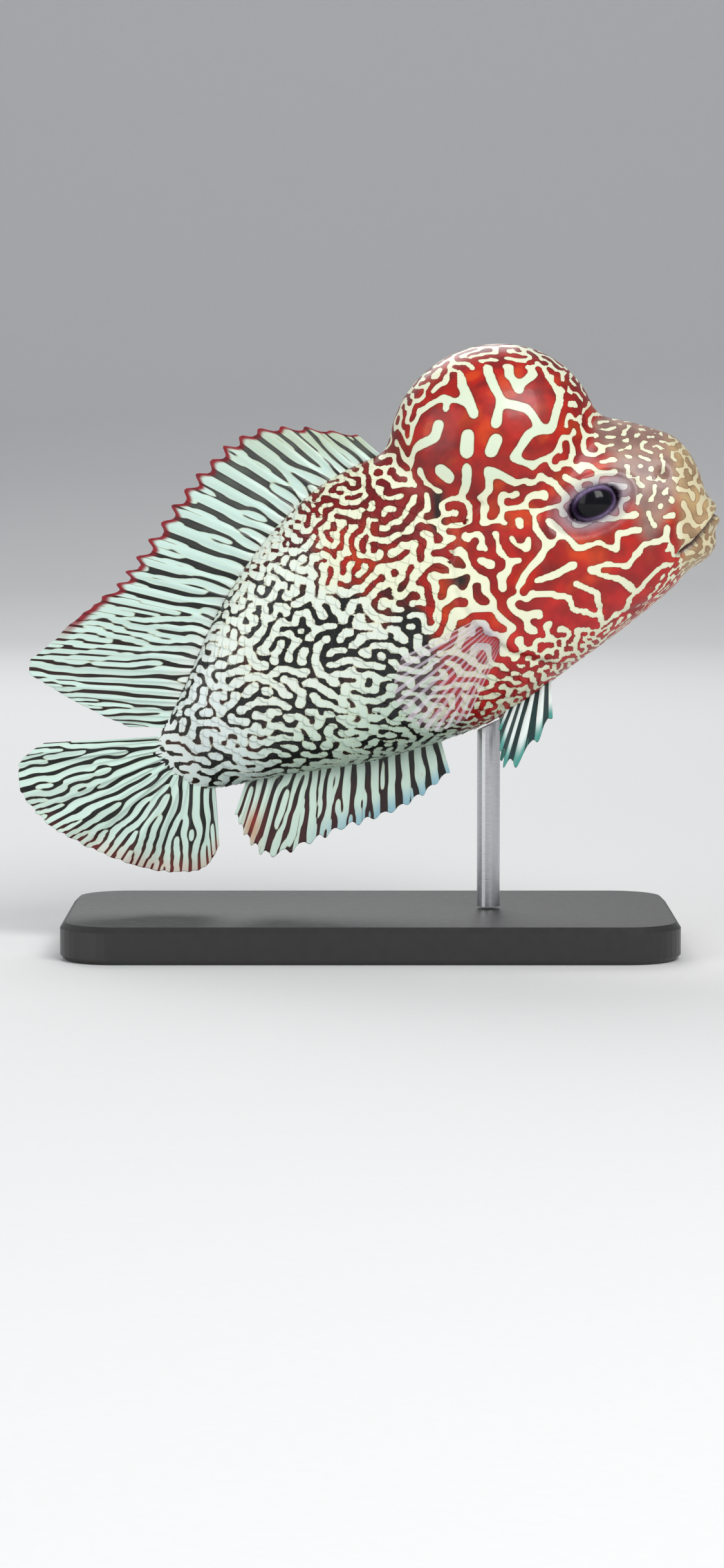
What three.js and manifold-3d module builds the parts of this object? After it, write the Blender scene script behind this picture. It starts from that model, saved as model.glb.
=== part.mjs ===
// A flowerhorn cichlid as a still, life-size museum model: a young fish about 80 mm long, held on one rod over a
// flat base, head up, with its fins spread. Millimetres, +Z up, the fish faces +X and is symmetric about Y = 0.
import * as THREE from "three";
import { mergeVertices } from "three/addons/utils/BufferGeometryUtils.js";
import Module from "manifold-3d";

const wasm = await Module();
wasm.setup();

// Driving dimensions
const HEAD_UP_DEG = 26; // the fish climbs at this angle
const GAP = 0.3; // air between pieces that touch
const SLIVER = 0.02; // edges that move the surface by less than this are dropped
const WELD = 0.003; // points nearer than this become one
const BODY_RINGS = 46;
const BODY_SIDES = 30;
const EYE_RADIUS = 2.5;
const EYE_AT = { along: 21.3, up: 1.2 };
const EYE_DEPTH = 1.75; // from the cheek's surface in to the eye's centre
const BASE = { length: 66, width: 36, height: 4, corner: 6, edge: 0.6 };
const TAIL_CLEARANCE = 4; // from the lowest fin tip down to the base
const ROD_RADIUS = 1.25;
const ROD_AT = { along: 3.4, up: -10.5 }; // a point inside the belly, right over the rod, on the fish's own axes

// The fish is drawn level, along X and up Z, and is turned head up at the end.
// Each station of the body: its back and belly points [along, up], half of its width, and where it is widest.
const STATIONS = [
  { back: [32.9, -3.0], belly: [31.7, -6.8], half: 2.7, widest: 0.5 },
  { back: [33.4, 0.4], belly: [30.2, -8.6], half: 4.2, widest: 0.48 },
  { back: [32.6, 3.8], belly: [26.9, -10.6], half: 5.6, widest: 0.46 },
  { back: [30.2, 6.1], belly: [22.4, -11.8], half: 6.6, widest: 0.45 },
  { back: [27.8, 8.2], belly: [17.1, -13.0], half: 7.4, widest: 0.45 },
  { back: [24.8, 9.3], belly: [11.2, -14.0], half: 8.0, widest: 0.45 },
  { back: [19.0, 10.6], belly: [5.7, -15.3], half: 8.3, widest: 0.45 },
  { back: [11.7, 13.0], belly: [0.2, -15.5], half: 8.2, widest: 0.44 },
  { back: [4.0, 15.8], belly: [-4.6, -15.1], half: 7.6, widest: 0.44 },
  { back: [-3.8, 15.9], belly: [-10.8, -14.1], half: 6.8, widest: 0.45 },
  { back: [-10.2, 14.0], belly: [-16.2, -12.7], half: 5.8, widest: 0.46 },
  { back: [-16.4, 10.9], belly: [-20.3, -11.3], half: 4.8, widest: 0.48 },
  { back: [-21.7, 7.3], belly: [-23.4, -10.5], half: 3.8, widest: 0.5 },
  { back: [-26.3, 3.4], belly: [-25.7, -10.0], half: 3.0, widest: 0.5 },
  { back: [-29.9, 0.6], belly: [-27.0, -9.7], half: 2.2, widest: 0.5 },
  { back: [-32.6, -0.9], belly: [-28.4, -9.3], half: 1.4, widest: 0.5 },
  { back: [-34.4, -2.6], belly: [-30.6, -8.8], half: 0.8, widest: 0.5 },
];
const ROUNDNESS = { back: 1.0, belly: 0.86 }; // 1 is an ellipse, less is fuller

// The nuchal hump is an ellipsoid over the brow.
const HUMP = { along: 14.6, up: 11.4, radii: [11.6, 8.7, 10.8] };

// Fins: each key ray runs from a root point to a tip point [along, up], front ray first.
const DORSAL_SPINY = [
  [[3.2, 15.6], [1.8, 18.8]],
  [[-0.5, 15.6], [-3.4, 22.3]],
  [[-3.8, 15.0], [-8.6, 24.3]],
  [[-7.2, 14.1], [-13.2, 23.5]],
  [[-10.6, 12.8], [-17.6, 21.7]],
  [[-14.0, 11.0], [-21.9, 19.3]],
  [[-17.4, 8.9], [-26.4, 16.9]],
  [[-19.6, 7.4], [-29.6, 15.5]],
];
const DORSAL_SOFT = [
  [[-20.0, 7.1], [-30.1, 15.3]],
  [[-22.6, 5.0], [-35.8, 13.7]],
  [[-25.0, 3.0], [-41.3, 11.8]],
  [[-27.2, 1.2], [-39.7, 8.3]],
  [[-29.0, 0.0], [-36.9, 4.3]],
  [[-30.4, -0.8], [-34.4, 1.3]],
];
const ANAL = [
  [[-4.4, -14.2], [-5.2, -18.6]],
  [[-7.4, -14.0], [-9.4, -19.6]],
  [[-10.8, -13.2], [-13.9, -19.7]],
  [[-14.2, -12.4], [-18.2, -19.1]],
  [[-17.6, -11.3], [-22.6, -18.9]],
  [[-20.6, -10.4], [-27.2, -18.1]],
  [[-23.0, -9.8], [-28.3, -15.2]],
  [[-25.2, -9.4], [-28.2, -12.3]],
];
const CAUDAL = [
  [[-31.4, -1.4], [-43.6, 3.7]],
  [[-31.9, -2.2], [-46.9, 2.8]],
  [[-32.2, -3.0], [-47.9, -0.4]],
  [[-32.3, -3.9], [-47.0, -4.2]],
  [[-32.2, -4.9], [-44.6, -8.0]],
  [[-31.8, -5.8], [-41.2, -11.8]],
  [[-31.1, -6.7], [-37.4, -14.9]],
  [[-30.1, -7.6], [-33.6, -16.1]],
  [[-28.8, -8.6], [-31.2, -14.6]],
];
const PECTORAL = [
  [[6.2, -4.4], [-4.4, -4.4]],
  [[6.1, -5.3], [-6.6, -7.4]],
  [[6.0, -6.2], [-6.4, -10.6]],
  [[5.9, -7.1], [-4.4, -13.0]],
  [[5.8, -8.0], [-0.8, -13.4]],
];
const PELVIC = [
  [[9.8, -12.4], [7.4, -17.8]],
  [[8.8, -12.5], [4.2, -19.7]],
  [[7.8, -12.6], [0.4, -20.8]],
  [[6.8, -12.7], [0.6, -18.9]],
  [[5.8, -12.8], [1.6, -16.4]],
];

// Turns a closed three.js geometry, in any placing, into a manifold solid that faces outwards.
function solidOf(geometry, weld = 1e-4) {
  const bare = geometry.index ? geometry.toNonIndexed() : geometry.clone();
  bare.deleteAttribute("normal");
  bare.deleteAttribute("uv");
  const merged = mergeVertices(bare, weld);
  const make = (corners) =>
    new wasm.Manifold(
      new wasm.Mesh({
        numProp: 3,
        vertProperties: merged.attributes.position.array,
        triVerts: new Uint32Array(corners),
      }),
    );
  const made = make(merged.index.array);
  return made.volume() > 0 ? made : make(Array.from(merged.index.array).reverse());
}

// The largest closed surface of a solid, moved into place, as a three.js geometry.
function geometryOf(solid, placing = new THREE.Matrix4()) {
  const largest = (parts) => parts.decompose().sort((a, b) => b.volume() - a.volume())[0];
  const asGeometry = (kept) => {
    const mesh = kept.getMesh();
    return new THREE.BufferGeometry()
      .setAttribute("position", new THREE.BufferAttribute(new Float32Array(mesh.vertProperties), 3))
      .setIndex(new THREE.BufferAttribute(new Uint32Array(mesh.triVerts), 1));
  };
  const placed = largest(solid.simplify(SLIVER)).transform(placing.elements);
  // A coarse weld pinches off slivers thinner than it, and they are left out with the second choice of the largest.
  return asGeometry(largest(solidOf(asGeometry(placed), WELD)));
}

// A geometry from rings of equal point counts, closed by a fan at each end.
function loft(rings) {
  const sides = rings[0].length;
  const points = rings.flat();
  const faces = [];
  rings.slice(1).forEach((_, r) => {
    for (let s = 0; s < sides; s += 1) {
      const a = r * sides + s;
      const b = r * sides + ((s + 1) % sides);
      faces.push(a, b, b + sides, a, b + sides, a + sides);
    }
  });
  const middle = (ring) => ring.reduce((sum, p) => sum.add(p), new THREE.Vector3()).divideScalar(sides);
  const first = points.push(middle(rings[0])) - 1;
  const last = points.push(middle(rings.at(-1))) - 1;
  const lastRing = (rings.length - 1) * sides;
  for (let s = 0; s < sides; s += 1) {
    const next = (s + 1) % sides;
    faces.push(first, next, s, last, lastRing + s, lastRing + next);
  }
  return new THREE.BufferGeometry().setFromPoints(points).setIndex(faces);
}

// Reads a list of numbers or points as one smooth curve: value at share 0 to 1 of the list.
function smooth(points) {
  const curve = new THREE.CatmullRomCurve3(points.map(([x, y, z = 0]) => new THREE.Vector3(x, y, z)), false, "centripetal");
  return (share) => curve.getPoint(share);
}

// The body as one solid, from snout to tail root, grown outwards by an offset.
function body(offset = 0) {
  const back = smooth(STATIONS.map((s) => s.back));
  const belly = smooth(STATIONS.map((s) => s.belly));
  const size = smooth(STATIONS.map((s) => [s.half * 10, s.widest * 10]));
  const rings = [];
  for (let r = 0; r <= BODY_RINGS; r += 1) {
    const share = r / BODY_RINGS;
    const top = back(share);
    const bottom = belly(share);
    const up = top.clone().sub(bottom).normalize();
    top.addScaledVector(up, offset);
    bottom.addScaledVector(up, -offset);
    const half = size(share).x / 10 + offset;
    const centre = bottom.clone().lerp(top, size(share).y / 10);
    if (r === 0) centre.x += offset;
    if (r === BODY_RINGS) centre.x -= offset;
    const ring = [];
    for (let s = 0; s < BODY_SIDES; s += 1) {
      const angle = (2 * Math.PI * s) / BODY_SIDES;
      const over = Math.sin(angle) > 0;
      const power = over ? ROUNDNESS.back : ROUNDNESS.belly;
      const reach = over ? top.distanceTo(centre) : bottom.distanceTo(centre);
      const rise = Math.sign(Math.sin(angle)) * Math.abs(Math.sin(angle)) ** power * reach;
      const side = Math.sign(Math.cos(angle)) * Math.abs(Math.cos(angle)) ** power * half;
      ring.push(new THREE.Vector3(centre.x + up.x * rise, side, centre.y + up.y * rise));
    }
    rings.push(ring);
  }
  return solidOf(loft(rings));
}

// An ellipsoid at [x, y, z].
function ellipsoid([x, y, z], [rx, ry, rz], sides = 32) {
  return solidOf(new THREE.SphereGeometry(1, sides, Math.round(sides / 2)).scale(rx, ry, rz).translate(x, y, z));
}

// A tube of changing radius along points [x, y, z], closed at both ends.
function tube(points, radiusAt, steps, sides) {
  const curve = new THREE.CatmullRomCurve3(points.map((p) => new THREE.Vector3(...p)), false, "centripetal");
  const rings = [];
  for (let r = 0; r <= steps; r += 1) {
    const share = r / steps;
    const centre = curve.getPoint(share);
    const along = curve.getTangent(share);
    const up = new THREE.Vector3(0, 0, 1).addScaledVector(along, -along.z).normalize();
    const out = up.clone().cross(along);
    const ring = [];
    for (let s = 0; s < sides; s += 1) {
      const angle = (2 * Math.PI * s) / sides;
      const point = centre.clone().addScaledVector(out, Math.cos(angle) * radiusAt(share));
      ring.push(point.addScaledVector(up, Math.sin(angle) * radiusAt(share)));
    }
    rings.push(ring);
  }
  return solidOf(loft(rings));
}

// All that lies on the left of the line from one point to another [along, up], moved left by a shift.
function beside(from, to, shift = 0) {
  const reach = 120;
  const angle = Math.atan2(to[1] - from[1], to[0] - from[0]);
  const block = new THREE.BoxGeometry(2 * reach, 2 * reach, reach)
    .translate(0, 0, reach / 2 + shift)
    .rotateY(-angle)
    .translate(from[0], 0, from[1]);
  return solidOf(block);
}

// A prism across the body, from an outline [along, up], on one side of the fish from a depth outwards.
function prism(outline, depth, side, growth = 0) {
  const centre = outline.reduce((sum, p) => [sum[0] + p[0] / outline.length, sum[1] + p[1] / outline.length], [0, 0]);
  const grown = outline.map(([x, y]) => {
    const out = new THREE.Vector2(x - centre[0], y - centre[1]);
    out.setLength(out.length() + growth);
    return new THREE.Vector2(centre[0] + out.x, centre[1] + out.y);
  });
  const thick = 12;
  const geometry = new THREE.ExtrudeGeometry(new THREE.Shape(new THREE.SplineCurve([...grown, grown[0]]).getPoints(40)), {
    depth: thick,
    bevelEnabled: false,
  }).rotateX(Math.PI / 2);
  const near = depth - growth;
  return solidOf(geometry.translate(0, side > 0 ? near + thick : -near, 0));
}

// A fin: rays and the membrane between them, from key rays. Its thickness is laid across the fin's own plane.
function fin(keys, { rays, rows, thick, tip, scallop = 0, sway = () => 0 }) {
  const root = smooth(keys.map((k) => k[0]));
  const edge = smooth(keys.map((k) => k[1]));
  const columns = 2 * rays - 2;
  const near = [];
  const far = [];
  for (let c = 0; c <= columns; c += 1) {
    const share = c / columns;
    const onRay = c % 2 === 0;
    for (let r = 0; r <= rows; r += 1) {
      const reach = (r / rows) * (onRay ? 1 : 1 - scallop);
      const point = root(share).lerp(edge(share), reach);
      const half = THREE.MathUtils.lerp(thick, tip, r / rows) * (onRay ? 0.5 : 0.32) + (onRay ? 0 : 0.04);
      const across = sway(point.x, point.y, reach);
      near.push(new THREE.Vector3(point.x, across + half, point.y));
      far.push(new THREE.Vector3(point.x, across - half, point.y));
    }
  }
  const points = [...near, ...far];
  const count = near.length;
  const faces = [];
  const line = rows + 1;
  for (let c = 0; c < columns; c += 1) {
    for (let r = 0; r < rows; r += 1) {
      const a = c * line + r;
      faces.push(a, a + 1, a + line + 1, a, a + line + 1, a + line);
      faces.push(a + count, a + count + line + 1, a + count + 1, a + count, a + count + line, a + count + line + 1);
    }
  }
  const rim = [];
  for (let r = 0; r < rows; r += 1) rim.push(r);
  for (let c = 0; c < columns; c += 1) rim.push(c * line + rows);
  for (let r = rows; r > 0; r -= 1) rim.push(columns * line + r);
  for (let c = columns; c > 0; c -= 1) rim.push(c * line);
  rim.forEach((a, i) => {
    const b = rim[(i + 1) % rim.length];
    faces.push(a, a + count, b + count, a, b + count, b);
  });
  return solidOf(new THREE.BufferGeometry().setFromPoints(points).setIndex(faces));
}

const grown = body(GAP);
const humpCentre = [HUMP.along, 0, HUMP.up];
const grownHump = ellipsoid(humpCentre, HUMP.radii.map((r) => r + GAP));

// Half of the body's width at a place on its side, found by a thin probe.
function halfWidthAt(along, up) {
  const probe = solidOf(new THREE.BoxGeometry(0.2, 40, 0.2).translate(along, 0, up));
  return body().add(ellipsoid(humpCentre, HUMP.radii)).intersect(probe).boundingBox().max[1];
}

// Lips: a roll of flesh round each half of the mouth, clear of the mouth line by half a roll. Its corners are sunk
// in the cheeks.
const MOUTH_SIDE = [
  { along: 27.2, up: -8.2, sunk: 1.0 },
  { along: 29.4, up: -7.6, sunk: 0.75 },
  { along: 31.2, up: -6.8, sunk: 0.4 },
];
const MOUTH_FRONT = [32.5, 0, -5.9];
function lip(reach, rise, radius) {
  const half = MOUTH_SIDE.map(({ along, up, sunk }) => [along, halfWidthAt(along, up + rise) - sunk, up]);
  const path = [...half, MOUTH_FRONT, ...half.map(([x, y, z]) => [x, -y, z]).reverse()];
  const shifted = path.map(([x, y, z]) => [x + reach, y, z + rise]);
  return tube(shifted, (share) => radius * (0.5 + 0.5 * Math.sin(Math.PI * share) ** 0.5), 20, 8);
}

const UPPER_LIP = { reach: 0.2, rise: 0.95, radius: 1.0 };
const LOWER_LIP = { reach: 0, rise: -0.85, radius: 0.95 };
const lips = [UPPER_LIP, LOWER_LIP].map(({ reach, rise, radius }) => lip(reach, rise, radius));
const chin = ellipsoid([29.6, 0, -7.9], [3.2, 4.1, 2.2], 20);
const whole = body().add(ellipsoid(humpCentre, HUMP.radii)).add(lips[0]).add(lips[1]).add(chin);

// Where the body is parted. Each line runs from one point to another, and the piece kept first lies on its left.
const CUT = {
  hump: [[3.6, 15.9], [27.0, 8.9]],
  nape: [[1.6, 20], [9.0, -17]],
  waist: [[-8.8, -18], [-7.6, 20]],
  stalk: [[-24.6, -14], [-24.2, 9]],
  mouth: [[24.0, -10.9], [36.0, -4.2]],
  jawBack: [[25.4, -20], [27.6, -6]],
};
const OPERCLE = [
  [15.6, 0.4],
  [10.5, 3.4],
  [6.6, 1.6],
  [5.2, -3.0],
  [7.2, -8.0],
  [11.4, -10.8],
  [14.2, -7.6],
];
const OPERCLE_DEPTH = 5.2;

const leftOf = (name) => beside(...CUT[name], GAP / 2);
const rightOf = (name) => beside(CUT[name][1], CUT[name][0], GAP / 2);

const hump = whole.intersect(leftOf("hump"));
const belowHump = whole.intersect(rightOf("hump"));
const skull = belowHump.intersect(leftOf("nape"));
const trunk = belowHump.intersect(rightOf("nape"));
const jaw = skull.intersect(rightOf("mouth")).intersect(rightOf("jawBack"));
let head = skull.subtract(beside(CUT.mouth[1], CUT.mouth[0], -GAP / 2).intersect(beside(CUT.jawBack[1], CUT.jawBack[0], -GAP / 2)));

const eyeOut = halfWidthAt(EYE_AT.along, EYE_AT.up) - EYE_DEPTH;
const pieces = [];
const part = (name, solid, colour, roughness) => pieces.push({ name, solid, colour, roughness });
const SIDES = [
  ["right", -1],
  ["left", 1],
];
const NOSTRIL = { along: 28.4, up: 2.2, radius: 0.45 };
const nostrilOut = halfWidthAt(NOSTRIL.along, NOSTRIL.up);

SIDES.forEach(([word, side]) => {
  const eyeAt = [EYE_AT.along, side * eyeOut, EYE_AT.up];
  const socket = ellipsoid(eyeAt, [EYE_RADIUS + GAP, EYE_RADIUS + GAP, EYE_RADIUS + GAP], 24);
  const brow = ellipsoid([eyeAt[0], side * (eyeOut - 0.2), eyeAt[2]], [EYE_RADIUS + 1.1, EYE_RADIUS * 0.72, EYE_RADIUS + 1.1], 24);
  part(`gill_cover_${word}`, head.intersect(prism(OPERCLE, OPERCLE_DEPTH, side)), 0xb5251c, 0.4);
  head = head.subtract(prism(OPERCLE, OPERCLE_DEPTH, side, GAP)).add(brow).subtract(socket);
  head = head.subtract(ellipsoid([NOSTRIL.along, side * nostrilOut, NOSTRIL.up], [0.5, 0.6, NOSTRIL.radius], 10));
  part(`eye_${word}`, ellipsoid(eyeAt, [EYE_RADIUS, EYE_RADIUS, EYE_RADIUS], 20), 0x1a1414, 0.1);
});
part("head", head, 0xb5251c, 0.4);
part("lower_jaw", jaw, 0xb9a58c, 0.4);
part("nuchal_hump", hump, 0xb5251c, 0.35);
part("trunk_front", trunk.intersect(rightOf("waist")), 0xc4553f, 0.4);
part("trunk_rear", trunk.intersect(leftOf("waist")).intersect(rightOf("stalk")), 0xd8e2d6, 0.4);
part("tail_stalk", trunk.intersect(leftOf("stalk")), 0xd8e2d6, 0.4);

// Fins stand in the body's middle plane, sunk in it and cut clear of it.
const clearOfBody = (solid) => solid.subtract(grown).subtract(grownHump);
const SPINE = { thick: 0.95, tip: 0.5 };
part("dorsal_fin_spiny", clearOfBody(fin(DORSAL_SPINY, { rays: 16, rows: 5, scallop: 0.1, ...SPINE })), 0xcfe0d8, 0.5);
part("dorsal_fin_soft", clearOfBody(fin(DORSAL_SOFT, { rays: 13, rows: 8, ...SPINE })), 0xcfe0d8, 0.5);
part("anal_fin", clearOfBody(fin(ANAL, { rays: 16, rows: 5, scallop: 0.05, ...SPINE })), 0xcfe0d8, 0.5);
part("caudal_fin", clearOfBody(fin(CAUDAL, { rays: 17, rows: 9, ...SPINE })), 0xcfe0d8, 0.5);

// Paired fins lean out from the body as they run back.
const pectoralRoot = halfWidthAt(5.6, -6.2);
const PECTORAL_LEAN = 0.24;
const pelvicRoot = 2.3;
const PELVIC_LEAN = 0.3;
SIDES.forEach(([word, side]) => {
  const pectoral = fin(PECTORAL, {
    rays: 11,
    rows: 5,
    thick: 0.8,
    tip: 0.5,
    sway: (x) => side * (pectoralRoot - 0.7 + PECTORAL_LEAN * (6.0 - x)),
  });
  const pelvic = fin(PELVIC, {
    rays: 6,
    rows: 5,
    thick: 0.9,
    tip: 0.5,
    sway: (x, z) => side * (pelvicRoot + PELVIC_LEAN * (-12.6 - z)),
  });
  part(`pectoral_fin_${word}`, clearOfBody(pectoral), 0xe0b8b4, 0.4);
  part(`pelvic_fin_${word}`, clearOfBody(pelvic), 0xb8d4d0, 0.4);
});

// Turn the fish head up, then stand it over the base so that its lowest fin tip clears it.
const headUp = new THREE.Matrix4().makeRotationY(-THREE.MathUtils.degToRad(HEAD_UP_DEG));
const reach = new THREE.Box3();
pieces.forEach(({ solid }) => {
  const { min, max } = solid.transform(headUp.elements).boundingBox();
  reach.union(new THREE.Box3(new THREE.Vector3(...min), new THREE.Vector3(...max)));
});
const middle = (reach.min.x + reach.max.x) / 2;
const lift = BASE.height + TAIL_CLEARANCE - reach.min.z;
const toStand = new THREE.Matrix4().makeTranslation(-middle, 0, lift).multiply(headUp);

const flowerhorn = new THREE.Group();
function show(name, geometry, colour, roughness, metalness = 0) {
  geometry.computeVertexNormals();
  const mesh = new THREE.Mesh(geometry, new THREE.MeshStandardMaterial({ color: colour, roughness, metalness }));
  mesh.name = name;
  flowerhorn.add(mesh);
}
pieces.forEach(({ name, solid, colour, roughness }) => show(name, geometryOf(solid, toStand), colour, roughness));

// The stand: a flat base with rounded corners, and one rod up to the belly.
const halfLength = BASE.length / 2;
const halfWidth = BASE.width / 2;
const plate = new THREE.Shape();
plate.moveTo(-halfLength + BASE.corner, -halfWidth);
plate.lineTo(halfLength - BASE.corner, -halfWidth);
plate.absarc(halfLength - BASE.corner, -halfWidth + BASE.corner, BASE.corner, -Math.PI / 2, 0);
plate.absarc(halfLength - BASE.corner, halfWidth - BASE.corner, BASE.corner, 0, Math.PI / 2);
plate.absarc(-halfLength + BASE.corner, halfWidth - BASE.corner, BASE.corner, Math.PI / 2, Math.PI);
plate.absarc(-halfLength + BASE.corner, -halfWidth + BASE.corner, BASE.corner, Math.PI, 1.5 * Math.PI);
const plateGeometry = new THREE.ExtrudeGeometry(plate, {
  depth: BASE.height - 2 * BASE.edge,
  bevelThickness: BASE.edge,
  bevelSize: BASE.edge,
  bevelOffset: -BASE.edge,
  bevelSegments: 1,
  curveSegments: 5,
}).translate(0, 0, BASE.edge);
show("stand_base", geometryOf(solidOf(plateGeometry)), 0x1d1b1a, 0.35);

// The rod runs from the base straight up to the belly, where it is cut clear of the body.
const rodTop = new THREE.Vector3(ROD_AT.along, 0, ROD_AT.up).applyMatrix4(toStand);
const rodBottom = BASE.height + GAP;
const rodLength = rodTop.z - rodBottom;
const rod = new THREE.CylinderGeometry(ROD_RADIUS, ROD_RADIUS, rodLength, 20)
  .rotateX(Math.PI / 2)
  .translate(rodTop.x, 0, rodBottom + rodLength / 2);
show("stand_rod", geometryOf(solidOf(rod).subtract(grown.transform(toStand.elements))), 0xa7a9ab, 0.25, 1);

export default flowerhorn;
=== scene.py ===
# %% [markdown]
# # A flowerhorn cichlid on its display stand
# The imported solids come first. They are the fixed frame that every finished piece is built around.

# %% Load the frame
import math

import bpy
import numpy as np
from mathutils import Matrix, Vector
from mathutils.bvhtree import BVHTree


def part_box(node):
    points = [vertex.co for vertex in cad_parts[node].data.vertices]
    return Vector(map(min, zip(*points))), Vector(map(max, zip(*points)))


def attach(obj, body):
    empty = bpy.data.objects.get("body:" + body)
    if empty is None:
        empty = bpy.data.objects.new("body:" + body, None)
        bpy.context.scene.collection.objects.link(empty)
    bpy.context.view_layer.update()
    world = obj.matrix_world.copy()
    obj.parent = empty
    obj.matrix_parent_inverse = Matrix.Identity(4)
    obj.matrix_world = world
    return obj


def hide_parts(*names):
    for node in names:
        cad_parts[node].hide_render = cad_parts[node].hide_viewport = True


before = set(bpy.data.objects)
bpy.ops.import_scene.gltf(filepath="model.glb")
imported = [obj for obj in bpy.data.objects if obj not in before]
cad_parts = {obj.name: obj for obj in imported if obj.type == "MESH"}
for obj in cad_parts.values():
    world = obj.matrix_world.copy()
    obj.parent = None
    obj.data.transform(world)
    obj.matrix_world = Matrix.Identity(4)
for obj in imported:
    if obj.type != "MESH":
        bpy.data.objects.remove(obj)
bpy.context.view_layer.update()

MM = 0.001

# %% [markdown]
# The fish climbs at 26 degrees. It is far easier to draw it level, so every measure below is in millimetres
# on the fish's own axes: along, to the snout, and up, to the back. The eye's solid says where those axes
# lie on the stand.

# %% The fish's own axes
HEAD_UP = math.radians(26)
EYE_ALONG, EYE_UP, EYE_RADIUS = 21.3, 1.2, 2.5
cos_up, sin_up = math.cos(HEAD_UP), math.sin(HEAD_UP)
eye_low, eye_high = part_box("eye_right")
eye_middle = (eye_low + eye_high) / 2 / MM
start_x = eye_middle.x - (EYE_ALONG * cos_up - EYE_UP * sin_up)
start_z = eye_middle.z - (EYE_ALONG * sin_up + EYE_UP * cos_up)


def to_stand(along, across, up):
    x = start_x + along * cos_up - up * sin_up
    z = start_z + along * sin_up + up * cos_up
    return np.stack([x, across + 0 * x, z], -1) * MM


def to_fish(points):
    x, z = points[:, 0] / MM - start_x, points[:, 2] / MM - start_z
    return x * cos_up + z * sin_up, points[:, 1] / MM, -x * sin_up + z * cos_up


print("fish axes start at", round(start_x, 2), round(start_z, 2))

# %% [markdown]
# The camera looks straight at the fish's right side from a little above, through a long lens, as the
# photograph does. A pale sweep of paper and three soft lights are the studio.

# %% Camera, paper and lights
FRAME_HEIGHT = 170.5
LENS = 100.0
HALF_FILM = 18
LOOK_DOWN = math.radians(5)
distance = FRAME_HEIGHT / 2 / (HALF_FILM / LENS) * MM
aim = Vector((start_x - 6.1, 0, start_z - 20.2)) * MM
bpy.ops.object.select_all(action="DESELECT")
bpy.ops.object.camera_add(
    location=aim + distance * Vector((0, -math.cos(LOOK_DOWN), math.sin(LOOK_DOWN))),
    rotation=(math.pi / 2 - LOOK_DOWN, 0, 0),
)
camera = bpy.context.object
camera.data.lens = LENS
camera.data.clip_start = 0.01
bpy.context.scene.camera = camera

bpy.ops.mesh.primitive_grid_add(x_subdivisions=2, y_subdivisions=40, size=1, location=(0, 0, 0))
paper = bpy.context.object
paper.name = "paper_sweep"
FLAT_SHARE, CURVE_SHARE = 0.55, 0.2
for vertex in paper.data.vertices:
    run = vertex.co.y + 0.5
    flat, rise = min(run, FLAT_SHARE), max(0.0, run - FLAT_SHARE)
    turn = min(rise / CURVE_SHARE, 1.0) * math.pi / 2
    wall = max(0.0, rise - CURVE_SHARE)
    vertex.co = (
        vertex.co.x * 5,
        -1.6 + flat * 4 + 0.5 * math.sin(turn),
        0.5 * (1 - math.cos(turn)) + wall * 6,
    )
bpy.ops.object.shade_smooth()


LIT_SPOT = (0, 0, 0.035)


def soft_light(name, place, size, power):
    bpy.ops.object.light_add(type="AREA", location=place)
    light = bpy.context.object
    light.name = name
    light.data.size = size
    light.data.energy = power
    light.rotation_euler = (Vector(LIT_SPOT) - Vector(place)).to_track_quat("-Z", "Y").to_euler()


soft_light("light_key", (0.22, -0.42, 0.42), 0.30, 2.3)
soft_light("light_fill", (-0.45, -0.35, 0.22), 0.40, 1.0)
soft_light("light_back", (-0.1, 0.45, 0.45), 0.40, 1.6)
world = bpy.data.worlds.new("studio")
bpy.context.scene.world = world
world.use_nodes = True
world.node_tree.nodes["Background"].inputs["Color"].default_value = (0.9, 0.93, 1.0, 1)
world.node_tree.nodes["Background"].inputs["Strength"].default_value = 0.36
bpy.context.scene.view_settings.view_transform = "Standard"
print("camera distance", round(distance / MM), "mm")

# %% [markdown]
# A fish has one skin. The solids of its flesh are parted by thin gaps, so copies of them are swollen until
# the gaps close, joined, and given one even net of small faces by a voxel remesh. Then the skin is let back
# in.

# %% One skin from the solids of flesh
FLESH = [
    "head", "lower_jaw", "nuchal_hump", "gill_cover_right", "gill_cover_left",
    "trunk_front", "trunk_rear", "tail_stalk",
]
SWELL = 0.32
VOXEL = 0.26
WELD = 0.000002


def copy_of(name):
    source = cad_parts[name]
    piece = bpy.data.objects.new(name + "_copy", source.data.copy())
    bpy.context.scene.collection.objects.link(piece)
    piece.data.materials.clear()
    return piece


def apply_modifier(piece, kind, **settings):
    bpy.context.view_layer.objects.active = piece
    modifier = piece.modifiers.new(kind.lower(), kind)
    for key, value in settings.items():
        setattr(modifier, key, value)
    bpy.ops.object.modifier_apply(modifier=modifier.name)


def select_only(pieces):
    bpy.ops.object.select_all(action="DESELECT")
    for piece in pieces:
        piece.select_set(True)
    bpy.context.view_layer.objects.active = pieces[0]


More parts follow.
